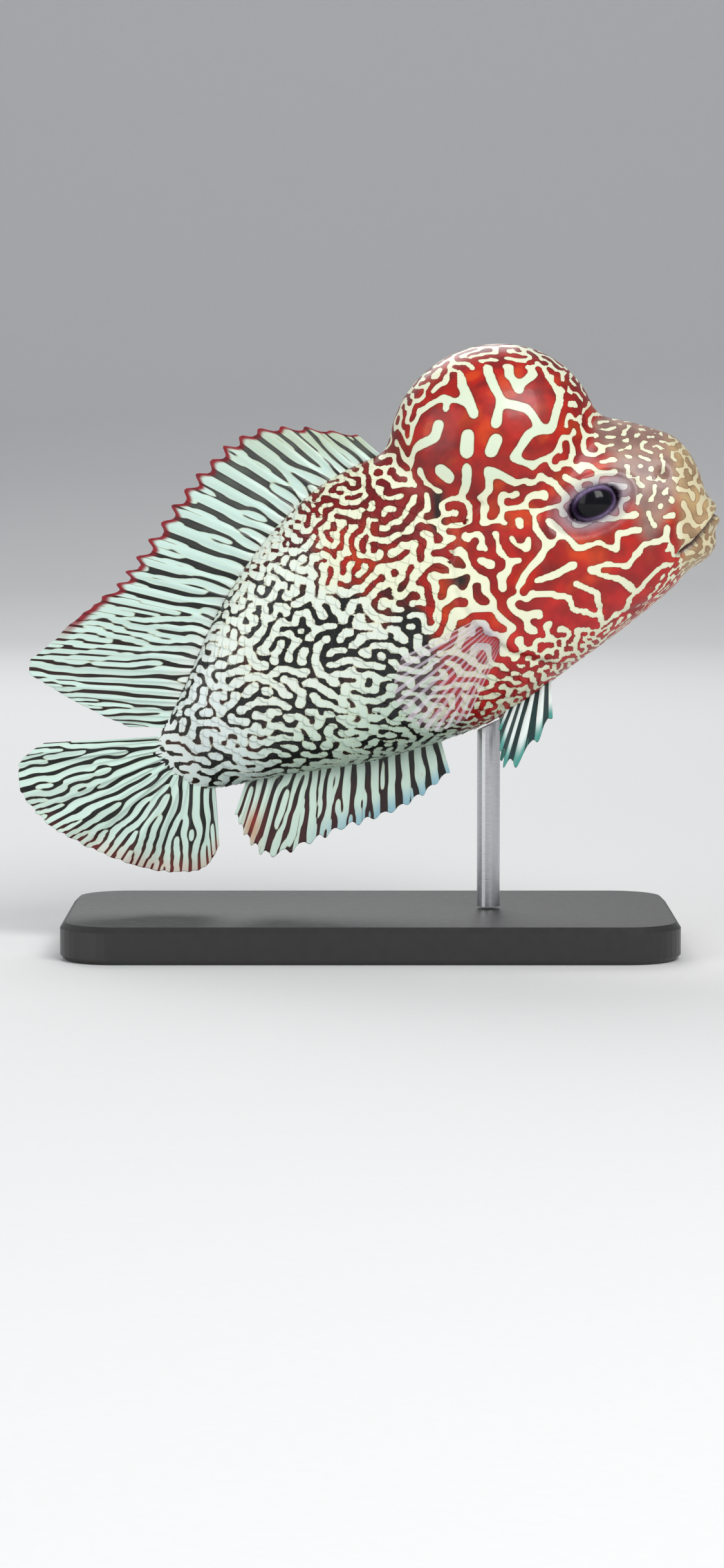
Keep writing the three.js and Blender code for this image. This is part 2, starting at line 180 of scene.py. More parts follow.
copies = [copy_of(name) for name in FLESH]
eyeballs = [copy_of(name) for name in ("eye_right", "eye_left")]
for piece in copies + eyeballs:
    select_only([piece])
    bpy.ops.object.mode_set(mode="EDIT")
    bpy.ops.mesh.select_all(action="SELECT")
    bpy.ops.mesh.remove_doubles(threshold=WELD)
    bpy.ops.object.mode_set(mode="OBJECT")
    apply_modifier(piece, "DISPLACE", strength=SWELL * MM, mid_level=0.0)
select_only(copies + eyeballs)
bpy.ops.object.join()
skin = bpy.context.object
skin.name = "fish_skin"
skin.data.name = "fish_skin"
apply_modifier(skin, "REMESH", mode="VOXEL", voxel_size=VOXEL * MM)
select_only([skin])
bpy.ops.object.mode_set(mode="EDIT")
bpy.ops.mesh.select_all(action="SELECT")
bpy.ops.mesh.separate(type="LOOSE")
bpy.ops.object.mode_set(mode="OBJECT")
shells = sorted(bpy.context.selected_objects, key=lambda shell: -len(shell.data.vertices))
print("shells after the remesh:", [len(shell.data.vertices) for shell in shells])
skin = shells[0]
for shell in shells[1:]:
    bpy.data.objects.remove(shell)
skin.name = skin.data.name = "fish_skin"
print("skin points:", len(skin.data.vertices))

# %% [markdown]
# Sculpting is done by moving the skin's points in code. Each point knows its neighbours, so values and
# places can be spread from point to point, which is what a smoothing brush does.

# %% A net of neighbours
def points_of(piece):
    flat = np.empty(len(piece.data.vertices) * 3, np.float32)
    piece.data.vertices.foreach_get("co", flat)
    return flat.reshape(-1, 3).astype(float)


def normals_of(piece):
    piece.data.update()
    flat = np.empty(len(piece.data.vertices) * 3, np.float32)
    piece.data.vertices.foreach_get("normal", flat)
    return flat.reshape(-1, 3).astype(float)


def move_points(piece, points):
    piece.data.vertices.foreach_set("co", points.astype(np.float32).ravel())
    piece.data.update()


def neighbours_of(piece, most=6):
    count = len(piece.data.vertices)
    ends = np.empty(len(piece.data.edges) * 2, np.int32)
    piece.data.edges.foreach_get("vertices", ends)
    ends = ends.reshape(-1, 2)
    here, there = np.concatenate([ends[:, 0], ends[:, 1]]), np.concatenate([ends[:, 1], ends[:, 0]])
    order = np.argsort(here, kind="stable")
    here, there = here[order], there[order]
    column = np.arange(len(here)) - np.searchsorted(here, np.arange(count))[here]
    table = np.repeat(np.arange(count)[:, None], most, 1)
    kept = column < most
    table[here[kept], column[kept]] = there[kept]
    weight = (table != np.arange(count)[:, None]).astype(np.float32)
    return table, weight / weight.sum(1, keepdims=True)


def spread(value, net, share, times):
    table, weight = net
    value = value.astype(np.float32)
    share = np.broadcast_to(np.asarray(share, np.float32), (len(value),))
    if value.ndim == 2:
        share = share[:, None]
        for _ in range(times):
            value = value + share * (np.einsum("ij,ijk->ik", weight, value[table]) - value)
        return value
    for _ in range(times):
        value = value + share * ((weight * value[table]).sum(1) - value)
    return value


def near(distance, reach):
    return np.exp(-((distance / reach) ** 2))


def ramp(value, low, high):
    share = np.clip((value - low) / (high - low), 0, 1)
    return share * share * (3 - 2 * share)


def to_line(along, up, line):
    best = np.full(len(along), 1e9)
    for (a, b), (c, d) in zip(line, line[1:]):
        run = np.array([c - a, d - b], float)
        share = np.clip(((along - a) * run[0] + (up - b) * run[1]) / max(run @ run, 1e-9), 0, 1)
        best = np.minimum(best, np.hypot(along - a - share * run[0], up - b - share * run[1]))
    return best


skin_net = neighbours_of(skin)
print("skin net:", skin_net[0].shape)

# %% [markdown]
# The body is smoothed well, as the solids are faceted, and the mouth far less, so that its lips stay.

# %% Smooth the body, keep the mouth
points = points_of(skin)
along, across, up = to_fish(points)
mouth = near(np.hypot(along - 32.5, up + 6.2), 4.5)
smoothing = 0.75 * (1 - 0.84 * ramp(mouth, 0.15, 0.7))
points = spread(points, skin_net, smoothing, 70).astype(float)
move_points(skin, points)
normals = normals_of(skin)
points -= normals * (SWELL - 0.06) * MM
points = spread(points, skin_net, 0.5, 4).astype(float)
move_points(skin, points)
print("skin length:", round(np.ptp(to_fish(points)[0]), 1), "mm")

# %% [markdown]
# The lips' tip is rounded and the lower lip drawn back first. Then the fine forms are pressed in or raised
# along the skin's normals: the slit of the mouth, the rim of the gill cover, the folds round the eye. The
# slit comes after the rounding, which would wipe it out.

# %% Sculpt the head's forms
MOUTH_LINE = [(26.6, -7.9), (29.0, -7.6), (31.2, -6.7), (35.0, -5.0)]
GILL_EDGE = [
    (10.6, 6.2), (7.4, 5.0), (5.0, 2.4), (4.0, -1.2), (4.4, -5.0), (6.6, -9.2), (10.4, -12.6), (15.0, -14.6),
]
CHEEK_EDGE = [(16.0, 3.2), (14.4, 0.0), (14.0, -4.0), (15.4, -8.2), (19.2, -11.0), (23.4, -11.4)]
LID = (2.8, 1.66)
EYE_ACROSS = -eye_middle.y
LIP_TIP, LIP_BACK = (33.6, -4.7), 0.9
LIP_REACH, LIP_PASSES = 1.5, 40
SLIT_DEEP, SLIT_WIDE = 0.7, 0.24
GILL_RAISED, GILL_SUNK, CHEEK_SUNK, NOSTRIL_SUNK = 0.16, 0.30, 0.16, 0.9
TAIL_THINS_AT, TAIL_THINNED = -26.0, 0.72
NOSTRIL, NOSTRIL_WIDE = (29.4, 0.9), 0.42
along, across, up = to_fish(points)
at_tip = near(np.hypot(along - LIP_TIP[0], up - LIP_TIP[1]), LIP_REACH)
points = spread(points, skin_net, 0.8 * at_tip, LIP_PASSES).astype(float)
back = LIP_BACK * ramp(-6.4 - up, 0, 1.2) * ramp(along, 24.0, 31.0)
points -= back[:, None] * np.array([cos_up, 0, sin_up]) * MM
move_points(skin, points)
along, across, up = to_fish(points)
normals = normals_of(skin)
side = ramp(np.abs(across), 1.0, 3.0)
push = np.zeros(len(points))
slit = to_line(along, up, MOUTH_LINE)
in_mouth = near(slit, SLIT_WIDE) * ramp(along, 26.4, 28.0)
push -= SLIT_DEEP * in_mouth
gill = to_line(along, up, GILL_EDGE)
inside = along > np.interp(up, [p[1] for p in GILL_EDGE[::-1]], [p[0] for p in GILL_EDGE[::-1]])
push += side * np.where(inside, GILL_RAISED * near(gill, 1.6), -GILL_SUNK * near(gill, 0.55))
cheek = to_line(along, up, CHEEK_EDGE)
push -= side * CHEEK_SUNK * near(cheek, 0.35)
push -= side * NOSTRIL_SUNK * near(np.hypot(along - NOSTRIL[0], up - NOSTRIL[1]), NOSTRIL_WIDE)
opening = np.hypot((along - EYE_ALONG) / LID[0], (up - EYE_UP) / LID[1])
push -= side * 0.20 * near(opening - 1.75, 0.14)
points += normals * push[:, None] * MM
from_eye = np.hypot(along - EYE_ALONG, up - EYE_UP)
ball = EYE_ACROSS + np.sqrt(np.clip(EYE_RADIUS**2 - from_eye**2, 0, None))
over_ball = ball + 0.14 * ramp(2.6 - from_eye, -0.4, 0.6)
width_now = np.abs(points[:, 1]) / MM
lidded = np.maximum(width_now, over_ball * ramp(2.9 - from_eye, 0, 0.5))
sunk = ball - 0.7
in_opening = ramp(1.04 - opening, 0, 0.08)
eyelid = lidded * (1 - in_opening) + sunk * in_opening
width_new = np.where(side > 0.5, eyelid, width_now)
width_new = np.where(from_eye < 3.4, width_new, width_now)
points[:, 1] = np.sign(points[:, 1]) * width_new * MM
thin = ramp(TAIL_THINS_AT - along, 0, 7.0)
points[:, 1] *= 1 - TAIL_THINNED * thin
points = spread(points, skin_net, 0.4 * ramp(opening, 1.1, 1.3), 2).astype(float)
move_points(skin, points)
select_only([skin])
bpy.ops.object.shade_smooth()
print("the deepest push on the head is", round(float(np.abs(push).max()), 2), "mm")

# %% [markdown]
# The maze on this fish is a pattern that grows by itself: colour cells help their near neighbours and hold
# back those farther off. The same rule is played out here from point to point over the skin, with the
# stroke width, the share of light colour and the drift of the lines set for each part of the body. The bold
# strokes on the hump and the face are drawn first, and the pattern grows round them.

# %% The rule that grows a maze
COARSENING = 1.22
STEPS_MOST, SHARE_MOST = 110, 0.9


def lean_along(piece_points, net, angle, amount):
    along, across, up = to_fish(piece_points)
    table, weight = net
    turn = np.arctan2(up[table] - up[:, None], along[table] - along[:, None])
    weight = weight * (1 + amount[:, None] * np.cos(2 * (turn - angle[:, None])))
    return table, (weight / weight.sum(1, keepdims=True)).astype(np.float32)


def grow_maze(net, period, light, drawn, hold, seed, step, rounds=16, far_net=None):
    rng = np.random.default_rng(seed)
    far_net = net if far_net is None else far_net
    wanted = (period / COARSENING / 6.0) ** 2 / step
    steps = int(min(STEPS_MOST, max(3, math.ceil(wanted.max() / SHARE_MOST))))
    share = np.minimum(wanted / steps, SHARE_MOST)
    field = rng.uniform(-1, 1, len(period)).astype(np.float32)
    field = np.where(hold > 0.3, drawn, field)
    for _ in range(rounds):
        close = spread(field, net, share, steps)
        far = spread(close, far_net, share, 2 * steps)
        growth = (close - far) / max(np.std(close - far), 0.02)
        field = np.tanh(2.2 * growth + light + 3.0 * hold * drawn)
    return spread(field, net, share, max(1, steps // 3))


print("the growth spreads in at most", STEPS_MOST, "steps a stage")

# %% [markdown]
# The boldest strokes are the ones that this fish would be known by, so they are drawn one by one. Each has a
# width, about two thirds of which lies on each side of its line, and the few points that it bends at.

# %% Strokes drawn on the hump and face
HUMP_STROKES = [
    (0.77, [(14.8, 20.4), (14.1, 18.5), (13.9, 15.3)]),
    (0.63, [(16.7, 20.7), (17.4, 19.4), (17.2, 17.3), (17.2, 15.6), (15.5, 13.4)]),
    (0.63, [(17.2, 15.1), (19.2, 13.5), (19.7, 11.0)]),
    (0.56, [(21.7, 18.2), (22.9, 16.7), (23.3, 14.3), (22.9, 12.6), (20.7, 10.3), (18.5, 11.0), (15.7, 9.3)]),
    (0.49, [(15.7, 9.3), (17.0, 7.9), (20.0, 7.6), (21.9, 9.4), (23.7, 11.3), (24.1, 13.1)]),
    (0.49, [(16.3, 6.5), (17.6, 7.8)]),
    (0.49, [(24.8, 8.3), (21.5, 6.8), (18.0, 5.4), (15.0, 4.9), (11.9, 4.2)]),
    (0.55, [(11.5, 17.3), (11.5, 17.2)]),
    (0.70, [(10.1, 16.0), (9.0, 14.9), (6.7, 14.9)]),
    (0.49, [(7.6, 17.8), (5.2, 12.8)]),
    (0.98, [(12.4, 13.7), (11.5, 12.1)]),
    (0.84, [(14.8, 11.9), (13.8, 11.0)]),
    (0.91, [(8.2, 11.4), (8.6, 10.4)]),
    (0.63, [(10.8, 10.6), (9.5, 8.5), (6.7, 7.3)]),
    (0.56, [(12.7, 9.4), (12.0, 7.4), (10.0, 5.1), (8.1, 5.5), (6.8, 6.4)]),
    (0.56, [(13.1, 9.0), (14.8, 6.7), (14.7, 5.4)]),
    (0.49, [(10.6, 20.5), (8.8, 19.7), (6.5, 19.2)]),
    (0.42, [(5.9, 17.8), (4.5, 15.6)]),
    (0.56, [(12.5, 20.8), (12.0, 23.0), (14.1, 22.6)]),
    (0.56, [(19.2, 17.1), (19.3, 15.5)]),
    (0.62, [(20.3, 19.6), (19.0, 17.4)]),
    (0.50, [(21.7, 18.2), (21.8, 16.5), (19.7, 16.0)]),
    (0.55, [(13.6, 21.0), (12.6, 21.6)]),
    (0.46, [(9.0, 18.3), (11.9, 18.3), (14.2, 16.3)]),
    (0.44, [(6.3, 17.6), (4.4, 14.4)]),
]
FACE_STROKES = [
    (0.42, [(15.2, 0.6), (17.1, -0.6), (17.7, -2.3), (20.0, -2.8), (21.2, -4.3), (22.2, -2.8), (24.5, -3.4)]),
    (0.42, [(17.9, -4.9), (19.6, -5.2), (21.6, -6.4), (24.1, -5.1), (26.7, -5.6)]),
    (0.42, [(17.9, -5.2), (20.3, -7.2), (21.3, -9.4)]),
    (0.35, [(21.3, -9.4), (23.9, -8.4), (26.2, -7.9), (28.6, -7.6)]),
    (0.42, [(9.3, -3.5), (12.4, -5.0), (14.5, -6.6), (14.4, -7.9), (16.2, -9.5)]),
    (0.35, [(15.8, -5.6), (17.4, -7.5), (16.6, -10.4)]),
    (0.35, [(20.6, -9.6), (19.6, -10.5), (16.5, -11.0)]),
    (0.35, [(8.7, -8.0), (11.9, -10.2), (15.5, -11.3), (18.2, -11.5), (20.6, -11.8)]),
    (0.49, [(12.1, -3.5), (14.4, -3.8), (16.4, -3.7)]),
    (0.42, [(11.6, 2.7), (14.5, 1.5), (14.1, -0.6), (12.4, 0.6)]),
    (0.42, [(11.9, 4.2), (10.3, 2.8), (7.8, 2.4)]),
    (0.35, [(23.8, -1.5), (25.2, -1.8), (27.0, -3.0), (26.2, -3.8)]),
]
STROKE_SHARE, STROKE_EDGE = 0.66, 0.3
RED_EDGE = [
    (5.1, 18.5), (3.9, 17.4), (-5.6, 16.8), (-7.6, 13.2), (-6.8, 6.3), (-4.9, 4.0),
    (-2.5, -0.4), (-0.1, -3.6), (-1.2, -6.4), (-3.0, -8.8), (-3.4, -11.8), (-1.7, -15.5),
]
along, across, up = to_fish(points)
stroke = np.full(len(points), 1e9)
for width, line in HUMP_STROKES + FACE_STROKES:
    stroke = np.minimum(stroke, to_line(along, up, line) - STROKE_SHARE * width)
drawn = np.clip(-stroke / STROKE_EDGE, -1, 1)
hump_zone = ramp(7.0 - np.hypot((along - 14.6) / 1.35, up - 13.2), 0, 2.2)
face_zone = 0.75 * ramp(6.2 - np.hypot((along - 18.6) / 1.45, up + 6.0), 0, 2.0)
hold = 0.75 * np.clip(hump_zone + face_zone, 0, 1) * side
print("strokes by hand:", len(HUMP_STROKES), "on the hump,", len(FACE_STROKES), "on the face")

# %% [markdown]
# Where each colour lies: red with cream in front, mint white with black behind, brown grey over the snout.

# %% Zones of the skin
rng = np.random.default_rng(5)
wobble = spread(rng.normal(0, 1, len(points)), skin_net, 0.9, 60)
wobble /= wobble.std()
blotch = spread(rng.normal(0, 1, len(points)), skin_net, 0.9, 24)
blotch /= blotch.std()
red_reach = np.interp(up, [p[1] for p in RED_EDGE[::-1]], [p[0] for p in RED_EDGE[::-1]])
front = ramp(along - red_reach + 0.9 * wobble, -2.2, 2.2)
above_mouth = ramp(up - 0.62 * (along - 31.0), -2.6, -0.4)
brow = ramp(along + 0.4 * wobble, 23.6, 25.4) * ramp(9.4 - up, 0, 0.8) * above_mouth
lips = ramp(along - 30.2 - 0.35 * up + 0.2 * wobble, -0.8, 0.8)
belly = ramp(-8.0 - up + 0.12 * along, 0, 4.0)
tail = ramp(-18.0 - along, 0, 8.0)
throat = ramp(-11.0 - up + 0.25 * (along - 20), 0, 1.5) * ramp(along, 8, 12)
period = 1.72 + 0.28 * ramp(along + 0.5 * wobble, -3, 5)
period = period * (1 - hump_zone) + 2.9 * hump_zone
period = period * (1 - 0.12 * belly) * (1 - 0.12 * brow * (1 - lips))
light = -0.16 + 0.16 * front - 0.75 * brow * (1 - lips) + 0.2 * lips
light += 0.35 * near(np.hypot(along - 22, up - 2.0), 4.0) - 0.7 * throat + 0.16 * wobble
angle = np.where(along > 16, math.radians(-165), math.radians(110))
angle = np.where((front < 0.5) & (up < 4), math.radians(155), angle)
drift = 0.3 + 0.35 * ramp(up, 8, 13) * (1 - front) + 0.25 * belly + 0.2 * ramp(along, 16, 19)
drift = drift * (1 - hump_zone)
SKIN_STEP = (0.88 * VOXEL) ** 2 / 2
leaning = lean_along(points, skin_net, angle, drift)
maze = grow_maze(leaning, period, light, drawn, hold, seed=11, step=SKIN_STEP)
maze = maze + (0.46 + 0.12 * wobble) * (1 - front)
maze = maze - 0.24 * front * ramp(along, 1, 6) * (1 - hump_zone) + 0.1 * front * wobble
print("share of light colour:", round(float((maze > 0).mean()), 2))

# %% [markdown]
# Every point carries a dark and a light colour, and the maze picks between them. Colours are laid over one
# another by shares, as a painter glazes, so that each zone fades into the next.

# %% Colours of the skin
def colour(*parts):
    values = np.array(parts, float) / 255
    return np.where(values <= 0.04045, values / 12.92, ((values + 0.055) / 1.055) ** 2.4)


def lay(under, over, share):
    return under * (1 - share[:, None]) + np.asarray(over) * share[:, None]


def store(piece, name, values):
    kind = "FLOAT" if values.ndim == 1 else "FLOAT_COLOR"
    layer = piece.data.attributes.new(name, kind, "POINT")
    if values.ndim == 1:
        layer.data.foreach_set("value", values.astype(np.float32))
    else:
        rgba = np.ones((len(values), 4), np.float32)
        rgba[:, :3] = values
        layer.data.foreach_set("color", rgba.ravel())


ORANGE = colour(206, 66, 6)
RED, DEEP_RED, INK = colour(180, 24, 2), colour(116, 6, 12), colour(12, 18, 16)
CREAM, MINT, WHITE = colour(236, 238, 208), colour(200, 228, 206), colour(230, 238, 224)
BROWN, SNOUT, LILAC = colour(120, 60, 40), colour(164, 130, 116), colour(186, 176, 196)
THROAT, LIP_DARK, LIP_PALE = colour(190, 24, 28), colour(186, 160, 116), colour(216, 204, 164)
SHOULDER, GILL_SPOT, TRUNK_SPOT, FIN_ROOT = (2.0, 9.0), (5.0, 0.1), (-1.8, 1.6), (4.6, -6.2)
NAPE_LINE = [(6.8, 9.4), (5.2, 6.2)]
# The dark brown on the next line is painted shade for the slit of the mouth.
EYE_RIM, MOUTH_SLIT_PAINTED_SHADE = colour(60, 40, 70), colour(70, 30, 26)


def round_spot(place, reach):
    return near(np.hypot(along - place[0], up - place[1]), reach)


hump_rim = 0.8 * ramp(np.hypot((along - 14.6) / 11.6, (up - 11.4) / 10.8), 0.78, 1.0)
dark = lay(INK, BROWN, 0.35 * ramp(wobble, 0.4, 1.6))
for over, share in (
    (colour(120, 50, 36), ramp(front, 0.05, 0.5) * 0.8),
    (RED, ramp(front, 0.35, 0.8)),
    (ORANGE, 0.75 * front * ramp(blotch, 0.3, 1.5)),
    (DEEP_RED, 0.6 * front * ramp(-blotch, 0.5, 1.6)),
    (DEEP_RED, 0.75 * round_spot(SHOULDER, 7.5) * front),
    (DEEP_RED, hump_rim * ramp(up, 9, 12)),
    (THROAT, front * ramp(-4.0 - up, 0, 5.0) * 0.8),
    (INK, round_spot(GILL_SPOT, 1.7)),
    (INK, near(to_line(along, up, NAPE_LINE), 0.7)),
    (INK, 0.9 * round_spot(TRUNK_SPOT, 2.2)),
    (SNOUT, brow),
    (LIP_DARK, lips * 0.95),
    (colour(150, 140, 150), near(opening - 1.1, 0.55) * 0.85),
):
    dark = lay(dark, over, share)
pale = lay(WHITE, CREAM, front)
for over, share in (
    (MINT, np.clip(0.75 * (1 - front) * ramp(-up - 2.0, 0, 9.0) + 0.45 * hump_zone, 0, 1)),
    (colour(214, 226, 232), 0.5 * tail),
    (LIP_PALE, lips * 0.9),
    (LILAC, round_spot(FIN_ROOT, 2.0) * 0.8),
    (colour(176, 170, 178), near(opening - 1.15, 0.6) * 0.85),
):
    pale = lay(pale, over, share)
rim = near(opening - 1.0, 0.16)
dark, pale = lay(dark, EYE_RIM, rim * 0.9), lay(pale, EYE_RIM, rim * 0.9)
# Painted shade: the pressed-in slit of the mouth is darkened to dark brown in both colours.
shade = np.clip(1.3 * in_mouth, 0, 1)
dark, pale = lay(dark, MOUTH_SLIT_PAINTED_SHADE, shade), lay(pale, MOUTH_SLIT_PAINTED_SHADE, shade)
store(skin, "maze", maze)
store(skin, "dark", dark)
store(skin, "pale", pale)
print("colours stored on", len(points), "points")

# %% [markdown]
# One recipe of material serves skin, scales and fins. It reads the maze at each point and picks the dark or
# the light colour, with a deeper edge to the dark cells, and a coat for the wet film. The constants sit on
# the shader's own sockets.

# %% The wet patterned skin
def node(material, kind, inputs=(), **settings):
    made = material.node_tree.nodes.new(kind)
    for key, value in settings.items():
        setattr(made, key, value)
    for key, value in dict(inputs).items():
        if isinstance(value, bpy.types.NodeSocket):
            material.node_tree.links.new(value, made.inputs[key])
        else:
            made.inputs[key].default_value = value
    return made


def set_inputs(made, values):
    for key, value in values.items():
        made.inputs[key].default_value = value


def new_material(name):
    material = bpy.data.materials.new(name)
    material.use_nodes = True
    return material, material.node_tree.nodes["Principled BSDF"]


def mix(material, factor, a, b, blend="MIX"):
    inputs = {"Factor": factor, 6: a, 7: b}
    return node(material, "ShaderNodeMix", inputs, data_type="RGBA", blend_type=blend).outputs[2]


def between(material, value, low, high, to_low=0.0, to_high=1.0, kind="SMOOTHSTEP"):
    ends = {"Value": value, "From Min": low, "From Max": high, "To Min": to_low, "To Max": to_high}
    return node(material, "ShaderNodeMapRange", ends, interpolation_type=kind).outputs["Result"]


def noise(material, place, scale, detail):
    made = node(material, "ShaderNodeTexNoise", {"Vector": place, "Scale": scale, "Detail": detail})
    return made.outputs["Fac"]


def finish_with(material, shader, tone, height, roughness, spread_of, strength, distance):
    low, high = roughness - spread_of[0], roughness + spread_of[1]
    material.node_tree.links.new(tone, shader.inputs["Base Color"])
    gloss = between(material, height, 0.0, 1.0, low, high, kind="LINEAR")
    material.node_tree.links.new(gloss, shader.inputs["Roughness"])
    bump = node(material, "ShaderNodeBump", {"Height": height, "Strength": strength, "Distance": distance})
    material.node_tree.links.new(bump.outputs["Normal"], shader.inputs["Normal"])


FINE_GRAIN, BROAD_GRAIN = 2600.0, 420.0


def patterned(name, roughness, coat):
    material, shader = new_material(name)
    field = node(material, "ShaderNodeAttribute", attribute_name="maze").outputs["Fac"]
    dark_colour = node(material, "ShaderNodeAttribute", attribute_name="dark").outputs["Color"]
    pale_colour = node(material, "ShaderNodeAttribute", attribute_name="pale").outputs["Color"]
    place = node(material, "ShaderNodeTexCoord").outputs["Object"]
    fine = noise(material, place, FINE_GRAIN, 4.0)
    broad = noise(material, place, BROAD_GRAIN, 2.0)
    edge = between(material, field, -0.55, -0.05)
    deep = mix(material, edge, (1, 1, 1, 1), (0.42, 0.30, 0.42, 1))
    dark_colour = mix(material, 1.0, dark_colour, deep, "MULTIPLY")
    warm = mix(material, between(material, field, 0.05, 0.5), (1.0, 0.92, 0.80, 1), (1, 1, 1, 1))
    pale_colour = mix(material, 1.0, pale_colour, warm, "MULTIPLY")
    blotches = between(material, broad, 0.3, 0.7)
    mottle = mix(material, blotches, (0.66, 0.60, 0.64, 1), (1.12, 1.10, 1.04, 1))
    dark_colour = mix(material, 1.0, dark_colour, mottle, "MULTIPLY")
    picked = mix(material, between(material, field, -0.14, 0.14), dark_colour, pale_colour)
    finish_with(material, shader, picked, fine, roughness, (0.08, 0.1), 0.18, 0.00008)
    set_inputs(shader, {
        "Specular IOR Level": 0.4, "Coat Weight": coat, "Coat Roughness": 0.12,
        "Subsurface Weight": 0.08, "Subsurface Radius": (0.9, 0.4, 0.3), "Subsurface Scale": 0.0008,
    })
    return material


skin_material = patterned("wet_skin", 0.42, 0.22)
skin.data.materials.append(skin_material)
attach(skin, "root")
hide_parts(*FLESH)
print("skin dressed:", skin_material.name)

# %% [markdown]
# Behind the head the fish wears scales: thin closed plates in staggered rows, each rooted in the skin under
# the one before it. The skin is measured first, on a table of places: stations run from the gill to the
# tail, and each station is measured from the side line up to the back and down to the belly.

# %% Measure the skin under the scales
SIDE_LINE = [(11.0, 0.8), (0.0, 0.6), (-8.0, 0.0), (-16.0, -1.2), (-24.0, -3.2), (-31.0, -4.6)]
FIRST_STATION, LAST_STATION = 11.0, -30.0
STATIONS, TURNS = 260, 220
TURN_LIMIT = 88


def lies_on(corner, place):
    side_1, side_2 = corner[..., 1, :] - corner[..., 0, :], corner[..., 2, :] - corner[..., 0, :]
    out = place - corner[..., 0, :]
    d00, d01, d11 = (side_1 * side_1).sum(-1), (side_1 * side_2).sum(-1), (side_2 * side_2).sum(-1)
    d20, d21 = (out * side_1).sum(-1), (out * side_2).sum(-1)
    size = np.maximum(d00 * d11 - d01 * d01, 1e-24)
    share_1, share_2 = (d11 * d20 - d01 * d21) / size, (d00 * d21 - d01 * d20) / size
    return np.stack([1 - share_1 - share_2, share_1, share_2], -1)[..., None]


def measure_side(facing, values):
    triangles = np.empty(len(skin.data.loop_triangles) * 3, np.int32)
    skin.data.loop_triangles.foreach_get("vertices", triangles)
    triangles = triangles.reshape(-1, 3)
    tree = BVHTree.FromPolygons([tuple(p) for p in points.tolist()], triangles.tolist())
    stations = np.linspace(FIRST_STATION, LAST_STATION, STATIONS)
    centre = np.interp(-stations, [-p[0] for p in SIDE_LINE], [p[1] for p in SIDE_LINE])
    turns = np.radians(np.linspace(-TURN_LIMIT, TURN_LIMIT, TURNS))
    rows = []
    for station, middle in zip(stations, centre):
        start = to_stand(np.array([station]), np.array([0.0]), np.array([middle]))[0]
        row = []
        for turn in turns:
            rise = math.sin(turn)
            ray = Vector((-rise * sin_up, facing * math.cos(turn), rise * cos_up))
            place, _, hit, _ = tree.ray_cast(Vector(start), ray)
            row.append((*(place if place else start), hit if place else 0))
        rows.append(row)
    table = np.array(rows)
    place, hit = table[..., :3], triangles[table[..., 3].astype(int)]
    shares = lies_on(points[hit], place)
    seen = np.concatenate([place, (values[hit] * shares).sum(2)], -1)
    steps = np.linalg.norm(np.diff(place, axis=1), axis=2) / MM
    run = np.concatenate([np.zeros((STATIONS, 1)), np.cumsum(steps, axis=1)], axis=1)
    run -= run[:, TURNS // 2][:, None]
    return stations, run, seen


def look_up(stations, run, seen, along, girth):
    spot = np.clip((stations[0] - along) / (stations[0] - stations[-1]) * (STATIONS - 1), 0, STATIONS - 1.001)
    first = spot.astype(int)
    found = 0
    for row, weight in ((first, 1 - (spot - first)), (first + 1, spot - first)):
        value = np.empty((len(along), seen.shape[2]))
        for station in np.unique(row):
            mine = row == station
            column = np.interp(girth[mine], run[station], np.arange(TURNS))
            left = np.minimum(column.astype(int), TURNS - 2)
            part = (column - left)[:, None]
            value[mine] = seen[station, left] * (1 - part) + seen[station, left + 1] * part
        found = found + value * weight[:, None]
    return found


print("skin table:", STATIONS, "stations by", TURNS, "turns")

# %% [markdown]
# Rows are staggered like roof tiles, and shrink towards the tail. The coat stops at the gill cover and
# behind the hump. In life small scales go on over the cheek, and they are left out here.

# %% Where each scale is rooted
SCALE_LONG, SCALE_PITCH, SCALE_RISE = 1.5, 1.12, 0.11
SCALE_OVERLAP, SCALE_SINK, SCALE_FLOOR = 1.34, 0.10, 0.14
SCALE_SHRINK = 0.3
ROOTS_FROM, ROOTS_TO = 9.5, -28.5
ROW_MARGIN = 0.3
NAPE_UP, NAPE_EDGE = [6.2, 9.0, 13.0, 18.0], [9.6, 5.4, 3.6, 3.0]


def scale_roots(stations, run):
    roots = []
    along, count = ROOTS_FROM, 0
    while along > ROOTS_TO:
        size = 1 - SCALE_SHRINK * ramp(np.array(-8.0 - along), 0, 20).item()
        at = int(np.clip(np.searchsorted(-stations, -along), 0, STATIONS - 1))
        low, high = run[at, 0], run[at, -1]
        pitch = SCALE_PITCH * size
        first = math.ceil((low + ROW_MARGIN * pitch) / pitch)
        for row in range(first, int((high - ROW_MARGIN * pitch) / pitch) + 1):
            if (row + count) % 2 == 0:
                roots.append((along, row * pitch, size))
        along -= 0.5 * SCALE_LONG * size
        count += 1
    return np.array(roots)


def behind_head(roots, stations, run, seen):
    spot = look_up(stations, run, seen, roots[:, 0], roots[:, 1])
    at_up = to_fish(spot[:, :3])[2]
    edge = np.interp(at_up, [p[1] for p in GILL_EDGE[::-1]], [p[0] for p in GILL_EDGE[::-1]])
    edge = np.where(at_up > NAPE_UP[0], np.interp(at_up, NAPE_UP, NAPE_EDGE), edge)
    return roots[roots[:, 0] < edge - 0.2]


print("at full size the scales lie", SCALE_LONG, "mm apart and rise by", SCALE_RISE, "mm")

# %% [markdown]
# One scale is a closed plate: a grid on top, a thin wall round it and a floor under the skin. The grid has
# enough points to carry the maze, which is why it is finer than its shape alone would need.

